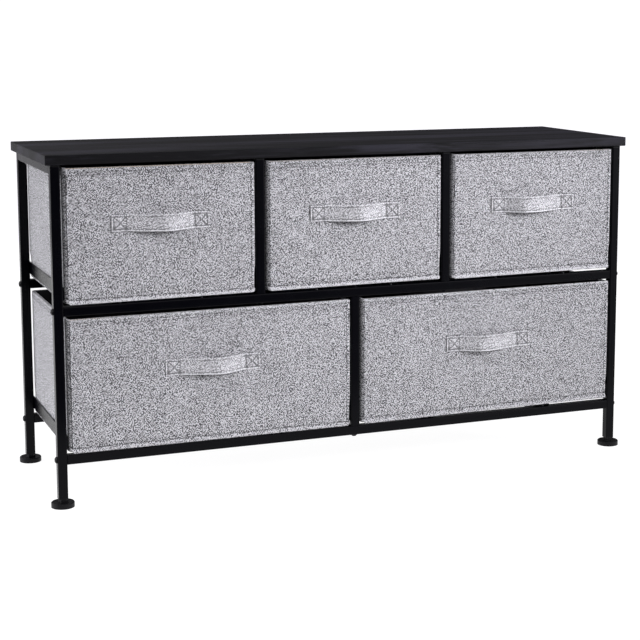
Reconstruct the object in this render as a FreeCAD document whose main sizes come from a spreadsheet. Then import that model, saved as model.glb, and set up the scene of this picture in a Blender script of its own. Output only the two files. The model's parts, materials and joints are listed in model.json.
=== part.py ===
import FreeCAD, Part
import math
import os

import Sketcher
from FreeCAD import Placement, Rotation, Vector

# Fabric drawer dresser: a steel tube frame under a wooden top, with five fabric drawers.
# Millimetres, +X to the right, +Y to the back, +Z up. The origin is on the floor under the
# middle of the whole object, pull straps included.

SIZES = {
    # top board
    "board_width": 1000, "board_depth": 300, "board_thick": 15, "board_corner": 2, "board_edge": 0.8,
    "total_height": 545, "side_inset": 8, "front_inset": 5,
    # square tubes of the frame
    "tube_size": 15, "tube_wall": 1.2, "tube_corner": 2, "ground_clearance": 67,
    # guide bars beside the drawers, above the middle and bottom rails
    "side_bar_height": 20, "side_bar_thick": 2, "side_bar_corner": 2, "side_bar_rise": 10,
    # drawers
    "drawer_headroom": 4.7, "drawer_side_gap": 3.3, "drawer_recess": 1, "drawer_back_gap": 5,
    "drawer_corner": 5, "fabric": 1.2, "stiffener": 2, "lining": 0.8, "base_panel": 3,
    "base_panel_gap": 1, "glide_gap": 0.3,
    # pull straps
    "strap_length": 155, "strap_patch": 26.5, "strap_width": 27.5, "strap_thick": 2,
    "strap_reach": 18, "strap_bend": 12, "strap_height": 120,
    # runners under the drawers
    "runner_width": 20, "runner_sheet": 1.5, "runner_rise": 4, "runner_depth": 12, "runner_gap": 0.5,
    "runner_stop": 14, "stop_gap": 0.5, "upper_runner_spread": 130, "lower_runner_spread": 220,
    # bolts, nuts, screws and plugs
    "bolt_radius": 3, "bolt_length": 30, "bolt_head_radius": 5.25, "bolt_head_height": 3.1,
    "bolt_head_slope": 1.9, "hex_key": 4, "hex_key_depth": 2, "bolt_hole_gap": 0.25,
    "thread_gap": 0.05, "plug_gap": 0.1, "nut_length": 18, "plug_length": 14, "plug_flange": 3,
    "peg_radius": 3, "peg_length": 8, "screw_radius": 2, "screw_head_radius": 4,
    "screw_head_height": 2.2, "runner_screw_length": 12, "board_screw_length": 25,
    "board_screw_spread": 160,
    # levelling feet
    "foot_radius": 18, "foot_height": 8, "foot_dish": 1.2, "foot_chamfer": 1, "collar_across": 14,
    "collar_height": 5, "stud_radius": 4, "stud_length": 20, "insert_flange": 1.5, "insert_length": 20,
}


class Size:
    """A length that knows its value and the spreadsheet formula that gives it."""

    def __init__(self, value, formula):
        self.value = float(value)
        self.formula = formula

    def combined(self, other, sign, value):
        other = other if isinstance(other, Size) else Size(other, str(other))
        return Size(value(self.value, other.value), f"({self.formula} {sign} {other.formula})")

    def __add__(self, other):
        return self.combined(other, "+", lambda a, b: a + b)

    def __sub__(self, other):
        return self.combined(other, "-", lambda a, b: a - b)

    def __mul__(self, other):
        return self.combined(other, "*", lambda a, b: a * b)

    def __truediv__(self, other):
        return self.combined(other, "/", lambda a, b: a / b)

    def __neg__(self):
        return self * -1


ZERO = Size(0, "0")

doc = FreeCAD.newDocument("FabricDrawerDresser")
sheet = doc.addObject("Spreadsheet::Sheet", "Dims")
for row, (alias, number) in enumerate(SIZES.items(), start=1):
    sheet.set(f"A{row}", alias)
    sheet.set(f"B{row}", str(number))
    sheet.setAlias(f"B{row}", alias)
doc.recompute()


class Dims:
    """The sheet's sizes by name."""

    def __getattr__(self, alias):
        return Size(SIZES[alias], f"Dims.{alias}")


dims = Dims()
nodes = []

# ---------------------------------------------------------------- places worked out from the sizes

frame_half_width = dims.board_width / 2 - dims.side_inset
frame_half_depth = dims.board_depth / 2 - dims.front_inset
inner_half_width = frame_half_width - dims.tube_size
inner_half_depth = frame_half_depth - dims.tube_size
leg_x = frame_half_width - dims.tube_size / 2
leg_y = frame_half_depth - dims.tube_size / 2

front_reach = frame_half_depth - dims.drawer_recess + dims.strap_reach
back_reach = leg_y + dims.foot_radius
middle_y = (front_reach - back_reach) / 2

under_board = dims.total_height - dims.board_thick
leg_bottom = dims.foot_height + dims.collar_height + dims.insert_flange
leg_top = under_board - dims.plug_flange
bottom_rail_top = dims.ground_clearance + dims.tube_size
bay_height = (under_board - dims.ground_clearance - dims.tube_size * 2) / 2
middle_rail_under = bottom_rail_top + bay_height
middle_rail_top = middle_rail_under + dims.tube_size
rail_heights = {"bottom": bottom_rail_top - dims.tube_size / 2, "middle": middle_rail_top - dims.tube_size / 2}

upper_bay = (inner_half_width * 2 - dims.tube_size * 2) / 3
lower_bay = (inner_half_width * 2 - dims.tube_size) / 2
upper_post_x = (upper_bay + dims.tube_size) / 2
post_bolt_x = {"bottom": [ZERO], "middle": [-upper_post_x, ZERO, upper_post_x]}

tube_bore = dims.tube_size - dims.tube_wall * 2
plug_width = tube_bore - dims.plug_gap * 2
bolt_hole = dims.bolt_radius + dims.bolt_hole_gap
thread_hole = dims.bolt_radius + dims.thread_gap
screw_hole = dims.screw_radius + dims.thread_gap

drawer_wall = dims.fabric + dims.stiffener + dims.lining
lift = dims.runner_rise + dims.glide_gap
drawer_height = bay_height - lift - dims.drawer_headroom
drawer_depth = frame_half_depth * 2 - dims.drawer_recess - dims.drawer_back_gap
drawer_front_y = dims.drawer_recess - frame_half_depth
drawer_back_y = drawer_front_y + drawer_depth
# name: (middle of the bay, underside, width, top of the rail below, spread of the two runners)
upper = (middle_rail_top + lift, upper_bay - dims.drawer_side_gap * 2, middle_rail_top, dims.upper_runner_spread)
lower = (bottom_rail_top + lift, lower_bay - dims.drawer_side_gap * 2, bottom_rail_top, dims.lower_runner_spread)
drawers = {
    "upper_left": (-(upper_bay + dims.tube_size), *upper),
    "upper_middle": (ZERO, *upper),
    "upper_right": (upper_bay + dims.tube_size, *upper),
    "lower_left": (-(lower_bay + dims.tube_size) / 2, *lower),
    "lower_right": ((lower_bay + dims.tube_size) / 2, *lower),
}

# ---------------------------------------------------------------- modelling helpers


def place(obj, x, y, z, rotation=None):
    """Put a sub-part at a place given from the middle of the frame."""
    obj.Placement = Placement(Vector(x.value, y.value + middle_y.value, z.value), rotation or Rotation())
    for axis, size in zip("xyz", (x, y + middle_y, z)):
        obj.setExpression(f"Placement.Base.{axis}", size.formula)


def new_body(label, exported=True):
    body = doc.addObject("PartDesign::Body", label)
    body.Label = label
    if exported:
        nodes.append(body)
    return body


def sketch_on(body, role, offset=None):
    """A sketch on one of the body's own origin planes, or at an offset along that plane's normal."""
    sketch = body.newObject("Sketcher::SketchObject", "Sketch")
    plane = next(feature for feature in body.Origin.OriginFeatures if feature.Role == role)
    sketch.AttachmentSupport = [(plane, "")]
    sketch.MapMode = "FlatFace"
    if offset is not None:
        sketch.setExpression("AttachmentOffset.Base.z", offset.formula)
    return sketch


def bind(sketch, constraint, size=None):
    """Add a constraint and, where it has a size, tie it to the sheet."""
    index = sketch.addConstraint(constraint)
    if size is not None:
        sketch.setExpression(f"Constraints[{index}]", size.formula)


def pin_point(sketch, curve, point, u, v):
    """Fix a point of a curve at (u, v) of its sketch."""
    for kind, size, axis in (("DistanceX", u, -2), ("DistanceY", v, -1)):
        if size.value == 0:
            bind(sketch, Sketcher.Constraint("PointOnObject", curve, point, axis))
        elif size.value > 0:
            bind(sketch, Sketcher.Constraint(kind, -1, 1, curve, point, size.value), size)
        else:
            bind(sketch, Sketcher.Constraint(kind, curve, point, -1, 1, -size.value), -size)


def polygon(sketch, points):
    """A closed outline through (u, v) points."""
    corners = [Vector(u.value, v.value, 0) for u, v in points]
    lines = [sketch.addGeometry(Part.LineSegment(corner, corners[(i + 1) % len(corners)]), False)
             for i, corner in enumerate(corners)]
    for i, line in enumerate(lines):
        bind(sketch, Sketcher.Constraint("Coincident", line, 2, lines[(i + 1) % len(lines)], 1))
        pin_point(sketch, line, 1, *points[i])


def rectangle(sketch, width, height):
    """A rectangle with sharp corners about the sketch's origin."""
    u, v = width / 2, height / 2
    polygon(sketch, [(u, v), (-u, v), (-u, -v), (u, -v)])


def rounded_rectangle(sketch, width, height, radius):
    """A rectangle with round corners about the sketch's origin."""
    u, v, r = width.value / 2 - radius.value, height.value / 2 - radius.value, radius.value
    arcs = []
    for i, (x, y) in enumerate(((u, v), (-u, v), (-u, -v), (u, -v))):
        circle = Part.Circle(Vector(x, y, 0), Vector(0, 0, 1), r)
        start = math.radians(90 * i)
        arcs.append(sketch.addGeometry(Part.ArcOfCircle(circle, start, start + math.pi / 2), False))
    ends = [(sketch.Geometry[arc].StartPoint, sketch.Geometry[arc].EndPoint) for arc in arcs]
    for i, arc in enumerate(arcs):
        following = (i + 1) % 4
        line = sketch.addGeometry(Part.LineSegment(ends[i][1], ends[following][0]), False)
        bind(sketch, Sketcher.Constraint("Tangent", arc, 2, line, 1))
        bind(sketch, Sketcher.Constraint("Tangent", line, 2, arcs[following], 1))
        bind(sketch, Sketcher.Constraint("Horizontal" if i % 2 == 0 else "Vertical", line))
    for arc in arcs[1:]:
        bind(sketch, Sketcher.Constraint("Equal", arcs[0], arc))
    bind(sketch, Sketcher.Constraint("Radius", arcs[0], r), radius)
    bind(sketch, Sketcher.Constraint("Symmetric", arcs[0], 3, arcs[2], 3, -1, 1))
    bind(sketch, Sketcher.Constraint("DistanceX", arcs[2], 3, arcs[0], 3, 2 * u), width - radius * 2)
    bind(sketch, Sketcher.Constraint("DistanceY", arcs[2], 3, arcs[0], 3, 2 * v), height - radius * 2)


def circles(sketch, radius, places):
    for u, v in places:
        circle = Part.Circle(Vector(u.value, v.value, 0), Vector(0, 0, 1), radius.value)
        index = sketch.addGeometry(circle, False)
        bind(sketch, Sketcher.Constraint("Radius", index, radius.value), radius)
        pin_point(sketch, index, 3, u, v)


def pad(body, sketch, length, symmetric=False):
    feature = body.newObject("PartDesign::Pad", "Pad")
    feature.Profile = sketch
    feature.SideType = "Symmetric" if symmetric else "One side"
    feature.setExpression("Length", length.formula)
    return feature


def cut(body, sketch, depth=None, reverse=False):
    """Cut a sketch out of the body, right through both ways or to a depth, and check that it cuts."""
    doc.recompute()
    before = body.Shape.Volume
    feature = body.newObject("PartDesign::Pocket", "Pocket")
    feature.Profile = sketch
    if depth is None:
        feature.Type = "ThroughAll"
        feature.SideType = "Symmetric"
    else:
        feature.Reversed = reverse
        feature.setExpression("Length", depth.formula)
    doc.recompute()
    if body.Shape.Volume >= before:
        raise RuntimeError(f"a pocket of {body.Label} cuts nothing")


def drill(body, role, radius, places):
    """Round holes right through a body, centred on one of its origin planes."""
    sketch = sketch_on(body, role)
    circles(sketch, radius, places)
    cut(body, sketch)


def revolve(body, points):
    """A full turn about Z of an outline of (radius, height) points."""
    sketch = sketch_on(body, "XZ_Plane")
    polygon(sketch, points)
    feature = body.newObject("PartDesign::Revolution", "Revolution")
    feature.Profile = sketch
    feature.ReferenceAxis = (sketch, ["V_Axis"])
    feature.Angle = 360


def chamfer_level_edges(body, size):
    """Chamfer every edge that lies level, at the top and the bottom of a plate."""
    doc.recompute()
    plate = body.Tip
    level = [f"Edge{i}" for i, edge in enumerate(plate.Shape.Edges, start=1) if edge.BoundBox.ZLength < 1e-6]
    feature = body.newObject("PartDesign::Chamfer", "Chamfer")
    feature.Base = (plate, level)
    feature.setExpression("Size", size.formula)


def group(label, master, placements):
    """Identical pieces in one sub-part, as separate solids. A placement is (x, y, z, direction)."""
    doc.recompute()
    solids = []
    for x, y, z, direction in placements:
        solid = master.Shape.copy()
        turn = Rotation(Vector(0, 0, 1), direction)
        solid.Placement = Placement(Vector(x.value, y.value, z.value), turn)
        solids.append(solid)
    feature = doc.addObject("Part::Feature", label)
    feature.Shape = Part.makeCompound(solids)
    feature.Label = label
    place(feature, ZERO, ZERO, ZERO)
    nodes.append(feature)


UP, DOWN = Vector(0, 0, 1), Vector(0, 0, -1)
SIDES = {"left": -1, "right": 1}
ENDS = {"front": -1, "rear": 1}

# ---------------------------------------------------------------- frame


def tube(label, along, length, x, y, z):
    """A square tube with round corners, centred on its place."""
    across = {"X": "YZ_Plane", "Y": "XZ_Plane", "Z": "XY_Plane"}
    body = new_body(label)
    section = sketch_on(body, across[along])
    rounded_rectangle(section, dims.tube_size, dims.tube_size, dims.tube_corner)
    rectangle(section, tube_bore, tube_bore)
    pad(body, section, length, symmetric=True)
    place(body, x, y, z)
    return body


def make_board():
    body = new_body("top_board")
    outline = sketch_on(body, "XY_Plane")
    rounded_rectangle(outline, dims.board_width, dims.board_depth, dims.board_corner)
    pad(body, outline, dims.board_thick)
    chamfer_level_edges(body, dims.board_edge)
    pegs = sketch_on(body, "XY_Plane")
    circles(pegs, dims.peg_radius + dims.thread_gap,
            [(upper_post_x * side, leg_y * end) for side in SIDES.values() for end in ENDS.values()])
    cut(body, pegs, dims.peg_length + dims.thread_gap, reverse=True)
    pilots = sketch_on(body, "XY_Plane")
    circles(pilots, screw_hole,
            [(leg_x * side, dims.board_screw_spread / 2 * end) for side in SIDES.values() for end in ENDS.values()])
    cut(body, pilots, dims.board_screw_length - dims.tube_size + dims.thread_gap, reverse=True)
    place(body, ZERO, ZERO, under_board)


def make_legs():
    middle = (leg_top + leg_bottom) / 2
    for side, x_sign in SIDES.items():
        for end, y_sign in ENDS.items():
            leg = tube(f"{side}_{end}_leg", "Z", leg_top - leg_bottom, leg_x * x_sign, leg_y * y_sign, middle)
            drill(leg, "YZ_Plane", bolt_hole, [(ZERO, height - middle) for height in rail_heights.values()])


def make_side_rails():
    """Front-to-back members: a tube under the board and two flat bars that guide the drawers, welded to
    the inner faces of the legs."""
    bar_length = (frame_half_depth - dims.tube_corner) * 2
    bar_x = inner_half_width - dims.side_bar_thick / 2
    for side, sign in SIDES.items():
        rail = tube(f"{side}_top_rail", "Y", inner_half_depth * 2, leg_x * sign, ZERO,
                    under_board - dims.tube_size / 2)
        drill(rail, "XY_Plane", screw_hole, [(ZERO, dims.board_screw_spread / 2 * end) for end in ENDS.values()])
        for level, rail_top in (("middle", middle_rail_top), ("bottom", bottom_rail_top)):
            body = new_body(f"{side}_{level}_side_bar")
            outline = sketch_on(body, "YZ_Plane")
            rounded_rectangle(outline, bar_length, dims.side_bar_height, dims.side_bar_corner)
            pad(body, outline, dims.side_bar_thick, symmetric=True)
            place(body, bar_x * sign, ZERO, rail_top + dims.side_bar_rise + dims.side_bar_height / 2)


def make_long_rails():
    for end, y_sign in ENDS.items():
        for level, height in rail_heights.items():
            rail = tube(f"{end}_{level}_rail", "X", inner_half_width * 2, ZERO, leg_y * y_sign, height)
            drill(rail, "XY_Plane", bolt_hole, [(x, ZERO) for x in post_bolt_x[level]])
            pilots = sketch_on(rail, "XY_Plane", dims.tube_size / 2)
            row = "lower" if level == "bottom" else "upper"
            circles(pilots, screw_hole,
                    [(x, ZERO) for name, x in runner_places() if name.startswith(row)])
            cut(rail, pilots, dims.tube_wall * 2)


def runner_places():
    """(drawer, x) of each of the ten runners, two under each drawer."""
    return [(name, drawer[0] + drawer[4] / 2 * side) for name, drawer in drawers.items()
            for side in SIDES.values()]


def make_posts():
    upper_length = leg_top - middle_rail_top
    upper_middle = (leg_top + middle_rail_top) / 2
    lower_middle = (middle_rail_under + bottom_rail_top) / 2
    for end, y_sign in ENDS.items():
        for side, x_sign in SIDES.items():
            tube(f"upper_{side}_{end}_post", "Z", upper_length, upper_post_x * x_sign, leg_y * y_sign, upper_middle)
        tube(f"lower_{end}_post", "Z", bay_height, ZERO, leg_y * y_sign, lower_middle)


# ---------------------------------------------------------------- fasteners and plugs


def make_bolt():
    """Button-head bolt with its head's underside at 0 and its shank down to minus its length."""
    body = new_body("button_head_bolt", exported=False)
    revolve(body, [(ZERO, -dims.bolt_length), (dims.bolt_radius, -dims.bolt_length), (dims.bolt_radius, ZERO),
                   (dims.bolt_head_radius, ZERO),
                   (dims.bolt_head_radius, dims.bolt_head_height - dims.bolt_head_slope),
                   (dims.bolt_head_radius - dims.bolt_head_slope, dims.bolt_head_height),
                   (ZERO, dims.bolt_head_height)])
    socket = sketch_on(body, "XY_Plane", dims.bolt_head_height)
    hexagon(socket, dims.hex_key)
    cut(body, socket, dims.hex_key_depth)
    return body


def hexagon(sketch, across):
    """A hexagon by the distance across its flats."""
    corner, flat = across / math.sqrt(3), across / 2
    polygon(sketch, [(corner, ZERO), (corner / 2, flat), (-corner / 2, flat),
                     (-corner, ZERO), (-corner / 2, -flat), (corner / 2, -flat)])


def make_plug(label, length, flange=None, bore=None, peg=False):
    """A square plug from 0 down into a tube, with a flange above 0, a bore or a peg on top."""
    body = new_body(label, exported=False)
    stem = sketch_on(body, "XY_Plane")
    rectangle(stem, plug_width, plug_width)
    stem_pad = pad(body, stem, length)
    stem_pad.Reversed = True
    if flange is not None:
        rim = sketch_on(body, "XY_Plane")
        rounded_rectangle(rim, dims.tube_size, dims.tube_size, dims.tube_corner)
        pad(body, rim, flange)
    if bore is not None:
        drill(body, "XY_Plane", bore, [(ZERO, ZERO)])
    if peg:
        top = sketch_on(body, "XY_Plane", flange)
        circles(top, dims.peg_radius, [(ZERO, ZERO)])
        pad(body, top, dims.peg_length)
    return body


def make_screw(label, length, countersunk):
    """A screw with its head's top at 0 where it is countersunk, or its head's underside at 0."""
    body = new_body(label, exported=False)
    if countersunk:
        head = [(dims.screw_radius, -dims.screw_head_height), (dims.screw_head_radius, ZERO)]
    else:
        head = [(dims.screw_radius, ZERO), (dims.screw_head_radius, ZERO),
                (dims.screw_head_radius, dims.screw_head_height)]
    revolve(body, [(ZERO, -length), (dims.screw_radius, -length), *head, (ZERO, head[-1][1])])
    return body


def make_fasteners():
    bolt_seats, nut_seats = [], []
    for x_sign in SIDES.values():
        for y_sign in ENDS.values():
            for height in rail_heights.values():
                outward = Vector(x_sign, 0, 0)
                bolt_seats.append((frame_half_width * x_sign, leg_y * y_sign, height, outward))
                nut_seats.append((inner_half_width * x_sign, leg_y * y_sign, height, outward))
    for y_sign in ENDS.values():
        y = leg_y * y_sign
        for x_sign in SIDES.values():
            bolt_seats.append((upper_post_x * x_sign, y, middle_rail_under, DOWN))
            nut_seats.append((upper_post_x * x_sign, y, middle_rail_top, DOWN))
        bolt_seats.append((ZERO, y, dims.ground_clearance, DOWN))
        nut_seats.append((ZERO, y, bottom_rail_top, DOWN))
        bolt_seats.append((ZERO, y, middle_rail_top, UP))
        nut_seats.append((ZERO, y, middle_rail_under, UP))
    group("frame_bolts", make_bolt(), bolt_seats)
    group("tube_nuts", make_plug("tube_nut", dims.nut_length, bore=thread_hole), nut_seats)

    corners = [(leg_x * x_sign, leg_y * y_sign) for x_sign in SIDES.values() for y_sign in ENDS.values()]
    group("leg_top_plugs", make_plug("leg_top_plug", dims.plug_length, dims.plug_flange),
          [(x, y, leg_top, UP) for x, y in corners])
    group("leg_end_inserts",
          make_plug("leg_end_insert", dims.insert_length, dims.insert_flange, dims.stud_radius + dims.thread_gap),
          [(x, y, leg_bottom, DOWN) for x, y in corners])
    group("post_top_pegs", make_plug("post_top_peg", dims.plug_length, dims.plug_flange, peg=True),
          [(upper_post_x * x_sign, leg_y * y_sign, leg_top, UP)
           for x_sign in SIDES.values() for y_sign in ENDS.values()])
    group("board_screws", make_screw("board_screw", dims.board_screw_length, countersunk=False),
          [(leg_x * x_sign, dims.board_screw_spread / 2 * y_sign, under_board - dims.tube_size, DOWN)
           for x_sign in SIDES.values() for y_sign in ENDS.values()])
    seats = []
    for name, x in runner_places():
        for y_sign in ENDS.values():
            seats.append((x, leg_y * y_sign, drawers[name][3] + dims.runner_rise, UP))
    group("runner_screws", make_screw("runner_screw", dims.runner_screw_length, countersunk=True), seats)


# ---------------------------------------------------------------- runners


def make_runner():
    """A folded channel that hooks over the front and rear rails, its tail turned up as a stop.

    Its height 0 is the top of the rails, and y 0 is the middle of the frame.
    """
    body = new_body("drawer_runner", exported=False)
    half, sheet_thick = dims.runner_width / 2, dims.runner_sheet
    under = dims.runner_rise - dims.runner_depth
    tail = drawer_back_y + dims.stop_gap + sheet_thick
    nose = -frame_half_depth + dims.tube_corner
    section = sketch_on(body, "XZ_Plane", -tail)
    polygon(section, [(-half, under), (-half, dims.runner_rise), (half, dims.runner_rise), (half, under),
                      (half - sheet_thick, under), (half - sheet_thick, dims.runner_rise - sheet_thick),
                      (sheet_thick - half, dims.runner_rise - sheet_thick), (sheet_thick - half, under)])
    pad(body, section, tail - nose)
    notches = sketch_on(body, "YZ_Plane")
    shoulder = inner_half_depth - dims.runner_gap
    below = under - sheet_thick
    for sign in ENDS.values():
        reach = frame_half_depth + dims.tube_size
        polygon(notches, [(shoulder * sign, below), (reach * sign, below), (reach * sign, ZERO),
                          (shoulder * sign, ZERO)])
    cut(body, notches)
    stop = sketch_on(body, "YZ_Plane")
    polygon(stop, [(tail - sheet_thick, dims.runner_rise - sheet_thick), (tail, dims.runner_rise - sheet_thick),
                   (tail, dims.runner_rise + dims.runner_stop), (tail - sheet_thick, dims.runner_rise + dims.runner_stop)])
    pad(body, stop, dims.runner_width, symmetric=True)
    doc.recompute()
    holes = sketch_on(body, "XY_Plane", dims.runner_rise)
    circles(holes, screw_hole, [(ZERO, leg_y * sign) for sign in ENDS.values()])
    hole = body.newObject("PartDesign::Hole", "Hole")
    hole.Profile = holes
    hole.ThreadType = "None"
    hole.DepthType = "Dimension"
    hole.setExpression("Depth", (dims.runner_rise + dims.runner_rise).formula)
    hole.DrillPoint = "Flat"
    hole.setExpression("Diameter", (screw_hole * 2).formula)
    hole.HoleCutType = "Countersink"
    hole.setExpression("HoleCutDiameter", ((dims.screw_head_radius + dims.thread_gap) * 2).formula)
    head_angle = 2 * math.degrees(math.atan((SIZES["screw_head_radius"] - SIZES["screw_radius"])
                                            / SIZES["screw_head_height"]))
    hole.HoleCutCountersinkAngle = head_angle
    return body


def make_runners():
    runner = make_runner()
    for row, rail_top in (("upper", middle_rail_top), ("lower", bottom_rail_top)):
        group(f"{row}_runners", runner,
              [(x, ZERO, rail_top, UP) for name, x in runner_places() if name.startswith(row)])


# ---------------------------------------------------------------- drawers


def make_cover(name, x, z, width):
    """Sewn fabric box: bottom, four walls and a hem that folds over the top edge."""
    body = new_body(f"{name}_cover")
    outline = sketch_on(body, "XY_Plane")
    rounded_rectangle(outline, width, drawer_depth, dims.drawer_corner)
    pad(body, outline, drawer_height)
    mouth = sketch_on(body, "XY_Plane", drawer_height)
    rounded_rectangle(mouth, width - drawer_wall * 2, drawer_depth - drawer_wall * 2,
                      dims.drawer_corner - drawer_wall + dims.lining)
    cut(body, mouth, dims.fabric)
    inside = sketch_on(body, "XY_Plane", drawer_height - dims.fabric)
    rounded_rectangle(inside, width - dims.fabric * 2, drawer_depth - dims.fabric * 2,
                      dims.drawer_corner - dims.fabric)
    cut(body, inside, drawer_height - dims.fabric * 2)
    place(body, x, (drawer_front_y + drawer_back_y) / 2, z)


def box(name, length, depth, height, x, y, z):
    """A plain board, by its size and the middle of its underside."""
    board = doc.addObject("Part::Box", name)
    for size_name, size in (("Length", length), ("Width", depth), ("Height", height)):
        board.setExpression(size_name, size.formula)
    for axis, size in (("x", x - length / 2), ("y", y - depth / 2), ("z", z)):
        board.setExpression(f"Placement.Base.{axis}", size.formula)
    return board


def make_stiffeners(name, x, z, width):
    """The four boards sewn between the cover and the lining."""
    height = drawer_height - dims.fabric * 2
    across, along = width - dims.drawer_corner * 2, drawer_depth - dims.drawer_corner * 2
    side_x = (width - dims.stiffener) / 2 - dims.fabric
    end_y = (drawer_depth - dims.stiffener) / 2 - dims.fabric
    boards = [box(f"{name}_side_board", dims.stiffener, along, height, side_x * sign, ZERO, dims.fabric)
              for sign in SIDES.values()]
    boards += [box(f"{name}_end_board", across, dims.stiffener, height, ZERO, end_y * sign, dims.fabric)
               for sign in ENDS.values()]
    stiffeners = doc.addObject("Part::Compound", f"{name}_stiffeners")
    stiffeners.Label = f"{name}_stiffeners"
    stiffeners.Links = boards
    place(stiffeners, x, (drawer_front_y + drawer_back_y) / 2, z)
    nodes.append(stiffeners)


def make_lining(name, x, z, width):
    """The dark inner bag, open at the top."""
    length = width - (dims.fabric + dims.stiffener) * 2
    depth = drawer_depth - (dims.fabric + dims.stiffener) * 2
    height = drawer_height - dims.fabric * 2
    bag = doc.addObject("Part::Cut", f"{name}_lining")
    bag.Label = f"{name}_lining"
    bag.Base = box(f"{name}_bag_outside", length, depth, height, ZERO, ZERO, dims.fabric)
    bag.Tool = box(f"{name}_bag_inside", length - dims.lining * 2, depth - dims.lining * 2, height,
                   ZERO, ZERO, dims.fabric + dims.lining)
    place(bag, x, (drawer_front_y + drawer_back_y) / 2, z)
    nodes.append(bag)


def make_base_panel(name, x, z, width):
    """The loose board that lies on the bottom of the bag."""
    body = new_body(f"{name}_base_panel")
    outline = sketch_on(body, "XY_Plane")
    margin = (drawer_wall + dims.base_panel_gap) * 2
    rectangle(outline, width - margin, drawer_depth - margin)
    pad(body, outline, dims.base_panel)
    place(body, x, (drawer_front_y + drawer_back_y) / 2, z + dims.fabric + dims.lining)


def make_strap(name, x, z):
    """Fabric pull: two flat sewn ends and an arch to put the fingers behind.

    Its centre line is a straight end, a short bend, the crown, and the same again.
    """
    body = new_body(f"{name}_pull_strap")
    half = dims.strap_length / 2
    foot = half - dims.strap_patch
    back = dims.strap_thick / 2
    rise = dims.strap_reach - dims.strap_thick
    crown = (foot * foot + rise * rise) / (rise * 2) - dims.strap_bend
    turn = 2 * math.atan(rise.value / foot.value)
    bend = dims.strap_bend.value
    path = sketch_on(body, "XY_Plane")
    bend_y, crown_y = -back.value - bend, crown.value - rise.value - back.value
    quarter = math.pi / 2

    def line(start, end):
        return path.addGeometry(Part.LineSegment(Vector(start, -back.value, 0), Vector(end, -back.value, 0)), False)

    def arc(x_centre, y_centre, radius, first, last):
        circle = Part.Circle(Vector(x_centre, y_centre, 0), Vector(0, 0, 1), radius)
        return path.addGeometry(Part.ArcOfCircle(circle, first, last), False)

    left_end = line(-half.value, -foot.value)
    left_bend = arc(-foot.value, bend_y, bend, quarter - turn, quarter)
    arch = arc(0, crown_y, crown.value, 3 * quarter - turn, 3 * quarter + turn)
    right_bend = arc(foot.value, bend_y, bend, quarter, quarter + turn)
    right_end = line(foot.value, half.value)
    for joint in ((left_end, 2, left_bend, 2), (left_bend, 1, arch, 1), (arch, 2, right_bend, 2),
                  (right_bend, 1, right_end, 1)):
        bind(path, Sketcher.Constraint("Tangent", *joint))
    bind(path, Sketcher.Constraint("Radius", left_bend, bend), dims.strap_bend)
    bind(path, Sketcher.Constraint("Radius", right_bend, bend), dims.strap_bend)
    bind(path, Sketcher.Constraint("Radius", arch, crown.value), crown)
    pin_point(path, left_end, 1, -half, -back)
    pin_point(path, left_end, 2, -foot, -back)
    pin_point(path, right_end, 1, foot, -back)
    bind(path, Sketcher.Constraint("DistanceX", right_end, 1, right_end, 2, dims.strap_patch.value), dims.strap_patch)

    section = sketch_on(body, "YZ_Plane", -half)
    edge = dims.strap_width / 2
    polygon(section, [(ZERO, -edge), (ZERO, edge), (-dims.strap_thick, edge), (-dims.strap_thick, -edge)])
    sweep = body.newObject("PartDesign::AdditivePipe", "Pipe")
    sweep.Profile = section
    sweep.Spine = (path, [f"Edge{i}" for i in range(1, 6)])
    place(body, x, drawer_front_y, z + dims.strap_height)


def make_drawers():
    for name, (x, z, width, _, _) in drawers.items():
        make_cover(name, x, z, width)
        make_stiffeners(name, x, z, width)
        make_lining(name, x, z, width)
        make_base_panel(name, x, z, width)
        make_strap(name, x, z)


# ---------------------------------------------------------------- feet


def make_feet():
    """Levelling feet: a dished round pad, a hexagonal collar for the spanner and a threaded stud."""
    collar_top = dims.foot_height + dims.collar_height
    stud_top = collar_top + dims.stud_length
    rim = dims.foot_radius - dims.foot_chamfer
    dished = dims.foot_height - dims.foot_dish
    for side, x_sign in SIDES.items():
        for end, y_sign in ENDS.items():
            body = new_body(f"{side}_{end}_foot")
            revolve(body, [(ZERO, ZERO), (dims.foot_radius, ZERO),
                           (dims.foot_radius, dims.foot_height - dims.foot_chamfer), (rim, dims.foot_height),
                           (dims.stud_radius, dished), (dims.stud_radius, stud_top), (ZERO, stud_top)])
            collar = sketch_on(body, "XY_Plane", dished)
            hexagon(collar, dims.collar_across)
            pad(body, collar, collar_top - dished)
            place(body, leg_x * x_sign, leg_y * y_sign, ZERO)


# ---------------------------------------------------------------- build, check and write

make_board()
make_legs()
make_side_rails()
make_long_rails()
make_posts()
make_fasteners()
make_runners()
make_drawers()
make_feet()
doc.recompute()

for obj in doc.Objects:
    if "Invalid" in obj.State or "Error" in obj.State:
        raise RuntimeError(f"{obj.Label} failed to build: {obj.State}")
for node in nodes:
    if node.Shape.isNull() or not node.Shape.isValid() or not node.Shape.Solids:
        raise RuntimeError(f"{node.Label} has no valid shape")

os.makedirs("parts", exist_ok=True)
for node in nodes:
    node.Shape.exportStep(f"parts/{node.Label}.step")
print(len(nodes), "sub-parts written")
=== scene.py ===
import json
import math
import random
from collections import namedtuple

import bmesh
import bpy
from mathutils import Matrix, Vector, noise


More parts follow.
